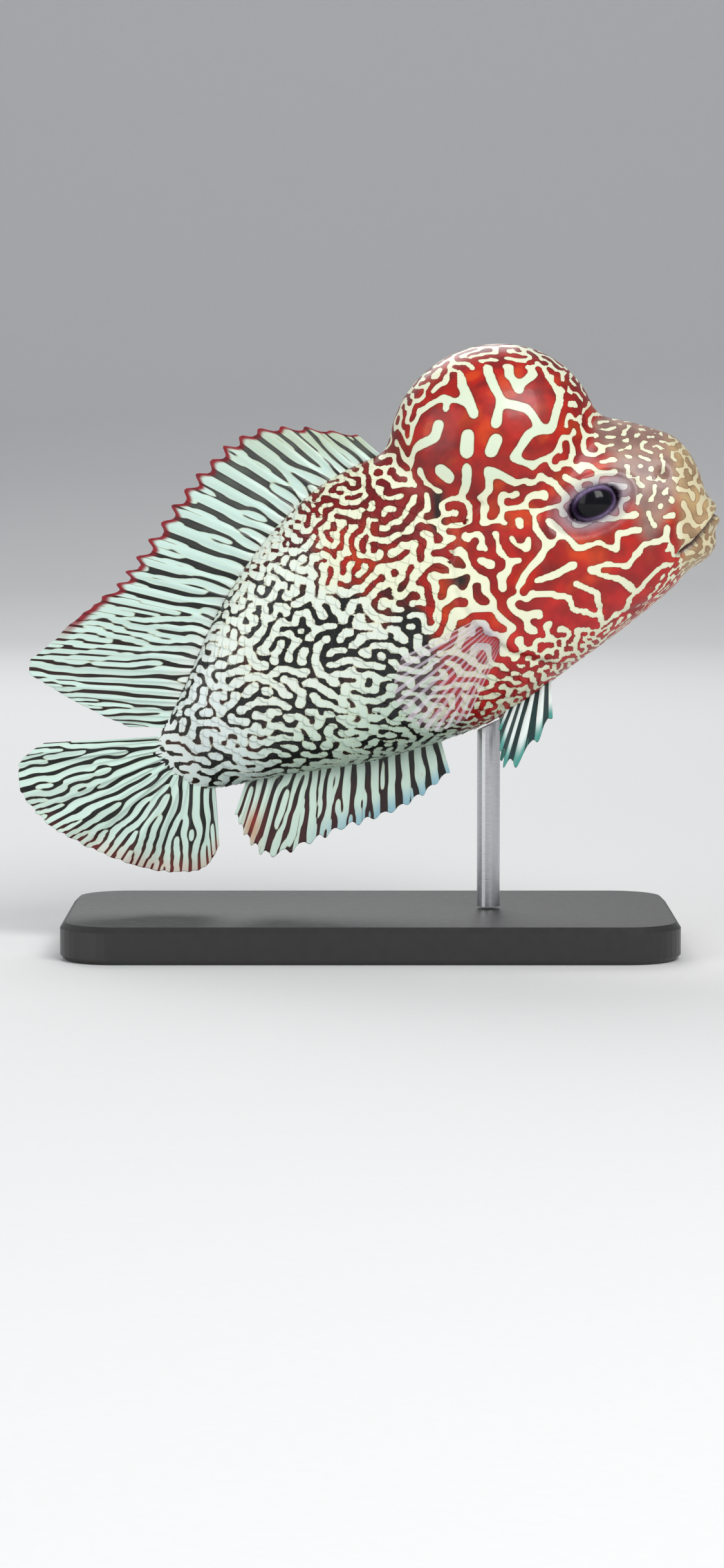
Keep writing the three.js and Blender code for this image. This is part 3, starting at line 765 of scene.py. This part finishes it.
# %% The form of one scale
LONG, WIDE = 10, 9
EACH = LONG * WIDE
u, v = np.meshgrid(np.linspace(0, 1, LONG), np.linspace(-1, 1, WIDE), indexing="ij")
u, v = u.ravel(), v.ravel()
scale_reach = u * (1 - 0.34 * v**2)
scale_half = 1.08 * (0.72 + 0.28 * np.sin(np.pi * np.clip(u * 0.9 + 0.1, 0, 1)))
scale_rim = np.clip((u - 0.86) / 0.14, 0, 1) + np.clip((np.abs(v) - 0.8) / 0.2, 0, 1)
scale_height = -SCALE_SINK + (SCALE_RISE + SCALE_SINK) * u**0.8 * (1 - 0.35 * v**2)
loop = [(0, j) for j in range(WIDE)] + [(i, WIDE - 1) for i in range(1, LONG)]
loop += [(LONG - 1, j) for j in range(WIDE - 2, -1, -1)] + [(i, 0) for i in range(LONG - 2, 0, -1)]
loop = np.array([i * WIDE + j for i, j in loop])
heart = (LONG // 2) * WIDE + WIDE // 2
STRIDE = EACH + len(loop) + 1
cell = np.array([
    [i * WIDE + j, i * WIDE + j + 1, (i + 1) * WIDE + j + 1, (i + 1) * WIDE + j]
    for i in range(LONG - 1) for j in range(WIDE - 1)
])
ring = np.arange(len(loop))
after = np.roll(ring, -1)
skirt = np.stack([loop[ring], EACH + ring, EACH + after, loop[after]], 1)
base = np.stack([EACH + ring, np.full(len(ring), EACH + len(loop)), EACH + after], 1)


def with_wall(values):
    return np.concatenate([values, values[:, loop], values[:, heart:heart + 1]], axis=1)


print("one scale:", STRIDE, "points and", len(cell) + len(skirt) + len(base), "faces")

# %% [markdown]
# The plates are bent over the skin by looking up each of their points on the measured table. They take the
# skin's own markings there, a little darker at the free rim. Their map holds each scale as a small patch at
# its root.

# %% Lay the scales over the skin
def face_outwards(piece):
    select_only([piece])
    bpy.ops.object.mode_set(mode="EDIT")
    bpy.ops.mesh.select_all(action="SELECT")
    bpy.ops.mesh.normals_make_consistent(inside=False)
    bpy.ops.object.mode_set(mode="OBJECT")
    bpy.ops.object.shade_smooth()


NUDGE = 0.3
RIM_DARKER = 0.22
PATCH = 0.003
MAP_EDGE, MAP_SPAN = 0.02, 0.96


def bend_over_skin(roots, stations, run, seen, facing):
    rng = np.random.default_rng(31)
    size = roots[:, 2] * rng.uniform(0.96, 1.05, len(roots))
    place_along = roots[:, 0, None] - (SCALE_LONG * SCALE_OVERLAP * size)[:, None] * scale_reach[None]
    place_girth = roots[:, 1, None] + (SCALE_PITCH * size)[:, None] * (v * scale_half)[None]
    place_along, place_girth = place_along.ravel(), place_girth.ravel()
    found = look_up(stations, run, seen, place_along, place_girth)
    here = found[:, :3]
    to_tail = look_up(stations, run, seen, place_along - NUDGE, place_girth)[:, :3] - here
    to_back = look_up(stations, run, seen, place_along, place_girth + NUDGE)[:, :3] - here
    outward = np.cross(to_tail, to_back)
    outward *= np.sign(outward[:, 1] * facing)[:, None]
    outward /= np.maximum(np.linalg.norm(outward, axis=1, keepdims=True), 1e-12)
    tops = (here + outward * np.tile(scale_height, len(roots))[:, None] * MM).reshape(-1, EACH, 3)
    floors = (here + outward * -SCALE_FLOOR * MM).reshape(-1, EACH, 3)
    corners = np.concatenate([tops, floors[:, loop], floors[:, heart:heart + 1]], axis=1)
    return corners.reshape(-1, 3), found[:, 3:].reshape(len(roots), EACH, -1)


def map_patches(mesh, roots, stations, run):
    low, high = run.min(), run.max()
    root_u = MAP_EDGE + MAP_SPAN * (stations[0] - roots[:, 0]) / (stations[0] - stations[-1])
    root_v = MAP_EDGE + MAP_SPAN * (roots[:, 1] - low) / (high - low)
    local = with_wall(np.stack([u, (v + 1) / 2], 1)[None] * PATCH)
    patch = np.stack([root_u, root_v], 1)[:, None] + local - PATCH / 2
    layer = mesh.uv_layers.new(name="OFBake")
    index = np.empty(len(mesh.loops), np.int32)
    mesh.loops.foreach_get("vertex_index", index)
    layer.data.foreach_set("uv", patch.reshape(-1, 2)[index].astype(np.float32).ravel())


def lay_scales(facing, word):
    values = np.column_stack([maze, dark, pale])
    stations, run, seen = measure_side(facing, values)
    roots = behind_head(scale_roots(stations, run), stations, run, seen)
    corners, marks = bend_over_skin(roots, stations, run, seen, facing)
    faces = []
    for index in range(len(roots)):
        shift = index * STRIDE
        faces += (cell + shift).tolist() + (skirt + shift).tolist() + (base + shift).tolist()
    mesh = bpy.data.meshes.new("scales_" + word)
    mesh.from_pydata(corners.tolist(), [], faces)
    piece = bpy.data.objects.new("scales_" + word, mesh)
    bpy.context.scene.collection.objects.link(piece)
    marks = with_wall(marks)
    field = marks[..., 0] - RIM_DARKER * np.clip(with_wall(scale_rim[None]), 0, 1)
    store(piece, "maze", field.reshape(-1))
    store(piece, "dark", marks[..., 1:4].reshape(-1, 3))
    store(piece, "pale", marks[..., 4:7].reshape(-1, 3))
    map_patches(mesh, roots, stations, run)
    face_outwards(piece)
    piece.data.materials.append(scale_material)
    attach(piece, "root")
    print(piece.name, len(roots), "scales,", len(roots) * (2 * len(cell) + 3 * len(loop)), "triangles")


skin.data.calc_loop_triangles()
scale_material = patterned("wet_scales", 0.36, 0.25)
lay_scales(-1, "right")
lay_scales(1, "left")

# %% [markdown]
# Each eye is a ball, flattened a little over a dark pupil. In life the pupil of this fish is a slanted
# oval, so the colours are laid by distance from the eye's middle, measured on an oval.

# %% Eyes
PUPIL_OVAL = (0.0027, 1000.0, 0.00165)
IRIS_FLECKS = 3500.0
CORNEA_FLAT = 0.10


def eye_material():
    material, shader = new_material("wet_eye")
    place = node(material, "ShaderNodeTexCoord").outputs["Object"]
    mapping = node(material, "ShaderNodeMapping", {"Vector": place}, vector_type="TEXTURE")
    middle = (eye_middle.x * MM, 0, eye_middle.z * MM)
    set_inputs(mapping, {"Location": middle, "Rotation": (0, -HEAD_UP, 0), "Scale": PUPIL_OVAL})
    length = node(material, "ShaderNodeVectorMath", {0: mapping.outputs["Vector"]}, operation="LENGTH")
    ring = length.outputs["Value"]
    flecks = noise(material, place, IRIS_FLECKS, 3.0)
    iris = mix(material, flecks, (*colour(66, 48, 84), 1), (*colour(150, 134, 168), 1))
    iris = mix(material, between(material, ring, 0.78, 0.92), (*colour(48, 30, 60), 1), iris)
    picked = mix(material, between(material, ring, 0.72, 0.78), (0.004, 0.004, 0.006, 1), iris)
    material.node_tree.links.new(picked, shader.inputs["Base Color"])
    set_inputs(shader, {
        "Roughness": 0.16, "Specular IOR Level": 0.14, "Coat Weight": 0.16, "Coat Roughness": 0.03,
    })
    return material


wet_eye = eye_material()
for word, facing in (("right", -1), ("left", 1)):
    low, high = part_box("eye_" + word)
    middle = (low + high) / 2
    bpy.ops.object.select_all(action="DESELECT")
    bpy.ops.mesh.primitive_uv_sphere_add(
        segments=64, ring_count=40, radius=EYE_RADIUS * MM, location=(0, 0, 0)
    )
    ball = bpy.context.object
    ball.name = "eyeball_" + word
    spots = points_of(ball)
    outward = spots[:, 1] * facing / (EYE_RADIUS * MM)
    spots[:, 1] -= facing * CORNEA_FLAT * MM * ramp(outward, 0.75, 1.0)
    spots += np.array(middle)
    move_points(ball, spots)
    bpy.ops.object.shade_smooth()
    ball.data.materials.append(wet_eye)
    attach(ball, "root")
    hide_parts("eye_" + word)
    print(ball.name, "at", [round(v / MM, 2) for v in middle])

# %% [markdown]
# A fin is a sheet of skin held out by rays. A grid is laid over the key rays, thickened with Solidify by a
# weight that is full on each ray and small between them, and its pattern of dashes is grown along the rays.

# %% Key rays of each fin, root then tip, front ray first
DORSAL = [
    [(3.2, 15.6), (1.8, 18.8)], [(-0.5, 15.6), (-3.4, 22.3)],
    [(-3.8, 15.0), (-8.6, 24.3)], [(-7.2, 14.1), (-13.2, 23.5)],
    [(-10.6, 12.8), (-17.6, 21.7)], [(-14.0, 11.0), (-21.9, 19.3)], [(-17.4, 8.9), (-26.4, 16.9)],
    [(-19.9, 7.2), (-30.0, 15.3)], [(-22.6, 5.0), (-35.8, 13.7)], [(-25.0, 3.0), (-41.3, 11.8)],
    [(-27.2, 1.2), (-39.7, 8.3)], [(-29.0, 0.0), (-36.9, 4.3)], [(-30.4, -0.8), (-34.4, 1.3)],
]
ANAL = [
    [(-4.4, -14.2), (-5.2, -18.6)], [(-7.4, -14.0), (-9.4, -19.6)], [(-10.8, -13.2), (-13.9, -19.7)],
    [(-14.2, -12.4), (-18.2, -19.1)], [(-17.6, -11.3), (-22.6, -18.9)], [(-20.6, -10.4), (-27.2, -18.1)],
    [(-23.0, -9.8), (-28.3, -15.2)], [(-25.2, -9.4), (-28.2, -12.3)],
]
CAUDAL = [
    [(-31.4, -1.4), (-43.6, 3.7)], [(-31.9, -2.2), (-46.9, 2.8)], [(-32.2, -3.0), (-47.9, -0.4)],
    [(-32.3, -3.9), (-47.0, -4.2)], [(-32.2, -4.9), (-44.6, -8.0)], [(-31.8, -5.8), (-41.2, -11.8)],
    [(-31.1, -6.7), (-37.4, -14.9)], [(-30.1, -7.6), (-33.6, -16.1)], [(-28.8, -8.6), (-31.2, -14.6)],
]
PECTORAL = [
    [(6.2, -4.4), (-4.4, -4.4)], [(6.1, -5.3), (-6.6, -7.4)], [(6.0, -6.2), (-6.4, -10.6)],
    [(5.9, -7.1), (-4.4, -13.0)], [(5.8, -8.0), (-0.8, -13.4)],
]
PELVIC = [
    [(9.8, -12.4), (7.4, -17.8)], [(8.8, -12.5), (4.2, -19.7)], [(7.8, -12.6), (0.4, -20.8)],
    [(6.8, -12.7), (0.6, -18.9)], [(5.8, -12.8), (1.6, -16.4)],
]
print("key rays:", [len(keys) for keys in (DORSAL, ANAL, CAUDAL, PECTORAL, PELVIC)])

# %% [markdown]
# A smooth curve runs through the roots of the key rays and another through their tips, and the grid's
# columns are laid from one to the other. The root is sunk into the body, so that no light shows under the
# fin.

# %% Lay a grid over key rays
FIN_SINK = 1.6


def curve_through(keys, share):
    keys = np.asarray(keys, float)
    keys = np.vstack([2 * keys[0] - keys[1], keys, 2 * keys[-1] - keys[-2]])
    spot = np.clip(share, 0, 1) * (len(keys) - 3)
    first = np.minimum(spot.astype(int), len(keys) - 4)
    t = (spot - first)[:, None]
    p0, p1, p2, p3 = (keys[first + i] for i in range(4))
    d0, d1, d2 = (np.sqrt(np.hypot(*(b - a).T))[:, None] for a, b in ((p0, p1), (p1, p2), (p2, p3)))
    m1 = ((p1 - p0) / d0 - (p2 - p0) / (d0 + d1) + (p2 - p1) / d1) * d1
    m2 = ((p2 - p1) / d1 - (p3 - p1) / (d1 + d2) + (p3 - p2) / d2) * d1
    return p1 + m1 * t + (3 * (p2 - p1) - 2 * m1 - m2) * t**2 + (2 * (p1 - p2) + m1 + m2) * t**3


def fin_sheet(name, keys, rays, columns, rows, spiky, across_at, sink=FIN_SINK, wave=0.0, seed=3):
    bpy.ops.object.select_all(action="DESELECT")
    bpy.ops.mesh.primitive_grid_add(x_subdivisions=columns, y_subdivisions=rows, size=1)
    sheet = bpy.context.object
    sheet.name = name
    spots = points_of(sheet)
    share, reach = spots[:, 0] + 0.5, spots[:, 1] + 0.5
    phase = share * (rays - 1)
    on_ray = 0.5 + 0.5 * np.cos(2 * np.pi * phase)
    rng = np.random.default_rng(seed)
    ragged = np.interp(phase * 4, np.arange(4 * rays), rng.uniform(-1, 1, 4 * rays)) * 0.012
    root = curve_through([k[0] for k in keys], share)
    tip = curve_through([k[1] for k in keys], share)
    ray = tip - root
    ray /= np.linalg.norm(ray, axis=1, keepdims=True)
    root = root - ray * sink
    notch = spiky(share) if callable(spiky) else spiky + 0 * share
    full = 1.0 - notch * (1 - on_ray**1.5) + ragged
    place = root + (tip - root) * (reach * full)[:, None]
    side_way = across_at(place[:, 0], place[:, 1]) + wave * np.sin(phase * 2.1 + reach * 3) * reach
    move_points(sheet, to_stand(place[:, 0], side_way, place[:, 1]))
    group = sheet.vertex_groups.new(name="ray")
    thickness = np.clip((0.25 + 0.75 * on_ray**3) * (1 - 0.62 * reach), 0.1, 1)
    for index, amount in enumerate(thickness):
        group.add([index], float(amount), "REPLACE")
    return sheet, share, reach, phase


def middle_plane(along, up):
    return 0 * along


print("a fin is sunk", FIN_SINK, "mm into the body unless its call says otherwise")

# %% [markdown]
# On a fin the dark and light dashes run along the rays. The helping stage of the growth spreads along and
# across, and the stage that holds back spreads mostly across, which is what draws the dashes out.

# %% Grow the dashes on a fin and finish it
ALONG_AGAIN = 0.22


def lean_on_rays(piece, share, stretch):
    table, weight = neighbours_of(piece)
    spots = points_of(piece)
    gap = np.linalg.norm(spots[table] - spots[:, None], axis=2) / MM
    real = weight > 0
    same_ray = (np.abs(share[table] - share[:, None]) < 1e-5) & real
    other_ray = ~same_ray & real
    along_gap = (gap * same_ray).sum(1) / np.maximum(same_ray.sum(1), 1)
    across_gap = (gap * other_ray).sum(1) / np.maximum(other_ray.sum(1), 1)
    pull = (stretch * across_gap / along_gap) ** 2
    along_net = np.where(same_ray, pull[:, None], 1.0) * real
    across_net = np.where(same_ray, ALONG_AGAIN * pull[:, None], 1.0) * real
    left_still = np.maximum(along_net.sum(1) - across_net.sum(1), 0)
    table = np.hstack([table, np.arange(len(share))[:, None]])
    along_net = np.hstack([along_net, np.zeros((len(share), 1))])
    across_net = np.hstack([across_net, left_still[:, None]])
    along_net = along_net / along_net.sum(1, keepdims=True)
    across_net = across_net / across_net.sum(1, keepdims=True)
    step = across_gap**2 / (1 + pull)
    return (table, along_net.astype(np.float32)), (table, across_net.astype(np.float32)), step


def dress_fin(
    sheet, share, period, stretch, light, drawn, hold, shift, dark, pale, seed, nodes, material,
    thick=0.62,
):
    net, far_net, step = lean_on_rays(sheet, share, stretch)
    field = grow_maze(net, period, light, drawn, hold, seed, step, rounds=12, far_net=far_net)
    store(sheet, "maze", field + shift)
    store(sheet, "dark", dark)
    store(sheet, "pale", pale)
    apply_modifier(
        sheet, "SOLIDIFY", thickness=thick * MM, offset=0, vertex_group="ray", thickness_vertex_group=0.2
    )
    sheet.vertex_groups.clear()
    face_outwards(sheet)
    sheet.data.materials.append(material)
    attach(sheet, "root")
    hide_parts(*nodes)
    light_share = round(float((field + shift > 0).mean()), 2)
    print(sheet.name, len(sheet.data.polygons), "faces, light share", light_share)


fin_material = patterned("rayed_fin", 0.38, 0.2)
GREEN_GREY, SKY = colour(186, 204, 180), colour(104, 172, 200)
MAROON, FIN_RED = colour(90, 34, 40), colour(136, 22, 34)

# %% [markdown]
# The dorsal fin starts with hard spines, notched between their tips and edged with red, and ends in soft
# rays that trail over the tail. One sheet makes both, as the membrane runs on without a break.

# %% Dorsal fin
def spiny_notch(share):
    return 0.075 * ramp(SPINY + 0.04 - share, 0, 0.06)


SPINY = 0.58
sheet, share, reach, phase = fin_sheet(
    "dorsal_fin", DORSAL, rays=28, columns=270, rows=90, spiky=spiny_notch, across_at=middle_plane, wave=0.12
)
count = len(share)
spiny = ramp(SPINY + 0.03 - share, 0, 0.06)
toward_tip = ramp(reach, 0.3, 0.8) * ramp(0.35 - share, 0, 0.3)
pale = lay(colour(202, 228, 218), GREEN_GREY, toward_tip)
pale = lay(pale, colour(226, 232, 226), ramp(0.35 - reach, 0, 0.3))
faded = 0.9 * spiny * ramp(0.55 - share, 0, 0.3) * ramp(reach, 0.1, 0.5)
dark = lay(INK, colour(92, 104, 94), faded)
dark = lay(dark, MAROON, 0.3 * reach * (1 - spiny))
margin = ramp(reach, 0.925, 0.97) * ramp(0.70 - share, 0, 0.06)
pale, dark = lay(pale, FIN_RED, margin), lay(dark, FIN_RED, margin)
dress_fin(
    sheet, share, period=1.75 - 0.35 * (1 - spiny), stretch=2.0, light=-0.15 + 0 * share,
    drawn=np.clip(np.cos(2 * np.pi * phase) + 0.45, -1, 1), hold=0.3 * spiny * ramp(reach, 0.35, 0.6),
    shift=0.62, dark=dark, pale=pale, seed=21, nodes=["dorsal_fin_spiny", "dorsal_fin_soft"],
    material=fin_material,
)

# %% [markdown]
# The anal fin has blue tips in front and a small rusty spot near its rear tip. The tail fin is a round fan.

# %% Anal fin and tail fin
sheet, share, reach, phase = fin_sheet(
    "anal_fin_rays", ANAL, rays=17, columns=170, rows=60, spiky=0.06, across_at=middle_plane, wave=0.1
)
count = len(share)
blue_tips = 0.7 * ramp(reach, 0.7, 0.98) * ramp(0.7 - share, 0, 0.4)
pale = lay(colour(208, 232, 218), SKY, blue_tips)
pale = lay(pale, colour(200, 130, 80), near(np.hypot((share - 0.84) * 3.4, reach - 0.86), 0.2) * 0.8)
dark = lay(INK, MAROON, 0.5 * ramp(share, 0.05, 0.5) * ramp(reach, 0.3, 0.7))
dark = lay(dark, colour(150, 40, 30), near(np.hypot((share - 0.84) * 3.4, reach - 0.82), 0.2) * 0.9)
dress_fin(
    sheet, share, period=np.full(count, 1.5), stretch=1.8, light=np.full(count, -0.2),
    drawn=np.cos(2 * np.pi * phase), hold=0.2 * ramp(reach, 0.2, 0.5), shift=0.56, dark=dark, pale=pale,
    seed=23, nodes=["anal_fin"], material=fin_material,
)

sheet, share, reach, phase = fin_sheet(
    "tail_fin_fan", CAUDAL, rays=17, columns=190, rows=110, spiky=0.0, across_at=middle_plane,
    sink=3.0, wave=0.25,
)
count = len(share)
lower_edge = 0.7 * ramp(reach, 0.82, 1.0) * ramp(share, 0.35, 0.7)
pale = lay(colour(206, 232, 220), colour(214, 190, 176), lower_edge)
dark = lay(INK, colour(110, 50, 36), ramp(reach, 0.75, 0.95) * ramp(share, 0.35, 0.75))
dark = lay(dark, colour(150, 30, 40), 0.4 * ramp(reach, 0.88, 0.99) * ramp(share, 0.2, 0.5))
dress_fin(
    sheet, share, period=1.45 - 0.1 * reach, stretch=1.4, light=np.full(count, -0.2), drawn=0 * share,
    hold=0 * share, shift=0.56, dark=dark, pale=pale, seed=24, nodes=["caudal_fin"],
    material=fin_material,
)

# %% [markdown]
# The paired fins lean out from the body. The front pair is nearly clear, with lilac rays over the pattern
# behind it.

# %% Paired fins
clear_material = patterned("clear_fin", 0.3, 0.3)
clear_shader = clear_material.node_tree.nodes["Principled BSDF"]
membrane = node(clear_material, "ShaderNodeAttribute", attribute_name="maze").outputs["Fac"]
solidness = between(clear_material, membrane, -0.2, 0.6, 0.05, 0.30, kind="LINEAR")
clear_material.node_tree.links.new(solidness, clear_shader.inputs["Alpha"])
pectoral_root = -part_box("pectoral_fin_right")[1].y / MM
for word, facing in (("right", -1), ("left", 1)):
    def leaning_front(along, up, facing=facing):
        return facing * (pectoral_root + 0.1 + 0.24 * (6.0 - along))

    def leaning_belly(along, up, facing=facing):
        return facing * (2.3 + 0.3 * (-12.6 - up))

    sheet, share, reach, phase = fin_sheet(
        "pectoral_fan_" + word, PECTORAL, rays=13, columns=110, rows=60, spiky=0.0, across_at=leaning_front,
        sink=0.6, wave=0.15,
    )
    count = len(share)
    pale = lay(colour(228, 214, 226), LILAC, ramp(0.3 - reach, 0, 0.2))
    dark = np.tile(colour(206, 170, 182), (count, 1))
    dress_fin(
        sheet, share, period=np.full(count, 0.9), stretch=5.0, light=0 * share,
        drawn=np.cos(2 * np.pi * phase), hold=0.9 + 0 * share, shift=0.0, dark=dark, pale=pale, seed=25,
        nodes=["pectoral_fin_" + word], material=clear_material, thick=0.4,
    )
    sheet, share, reach, phase = fin_sheet(
        "pelvic_fan_" + word, PELVIC, rays=6, columns=70, rows=70, spiky=0.12, across_at=leaning_belly,
        sink=1.0, wave=0.1,
    )
    count = len(share)
    pale = lay(colour(228, 238, 234), colour(70, 150, 140), ramp(reach, 0.72, 0.95))
    dark = lay(INK, colour(20, 60, 60), reach)
    dress_fin(
        sheet, share, period=np.full(count, 1.3), stretch=4.0, light=0.1 + 0 * share,
        drawn=np.cos(2 * np.pi * phase), hold=0.5 + 0 * share, shift=0.0, dark=dark, pale=pale, seed=26,
        nodes=["pelvic_fin_" + word], material=fin_material,
    )

# %% [markdown]
# The stand is plain: a satin black plate and a brushed steel rod. Their solids are right as they are, so
# they only get a finish.

# %% Stand finishes
STAND_GRAIN = 900.0


def grained(name, base, roughness, metallic, stretch, vary=0.2):
    material, shader = new_material(name)
    place = node(material, "ShaderNodeTexCoord").outputs["Object"]
    mapping = node(material, "ShaderNodeMapping", {"Vector": place, "Scale": stretch})
    grain = noise(material, mapping.outputs["Vector"], STAND_GRAIN, 3.0)
    darker, lighter = (*(part * (1 - vary) for part in base), 1), (*(part * (1 + vary) for part in base), 1)
    tone = mix(material, grain, darker, lighter)
    finish_with(material, shader, tone, grain, roughness, (0.06, 0.1), 0.12, 0.0001)
    shader.inputs["Metallic"].default_value = metallic
    return material


plate_finish = grained("satin_plate", (0.022, 0.021, 0.020), 0.38, 0.0, (1, 1, 1))
rod_finish = grained("brushed_rod", (0.60, 0.60, 0.62), 0.28, 1.0, (1, 1, 14))
paper_finish = grained("pale_paper", (0.80, 0.80, 0.79), 0.85, 0.0, (1, 1, 1), vary=0.02)
for name, finish in (("stand_base", plate_finish), ("stand_rod", rod_finish)):
    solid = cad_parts[name]
    solid.data.materials.clear()
    solid.data.materials.append(finish)
paper.data.materials.append(paper_finish)
print("stand finishes:", plate_finish.name, rod_finish.name)

# %% [markdown]


print("scene built")
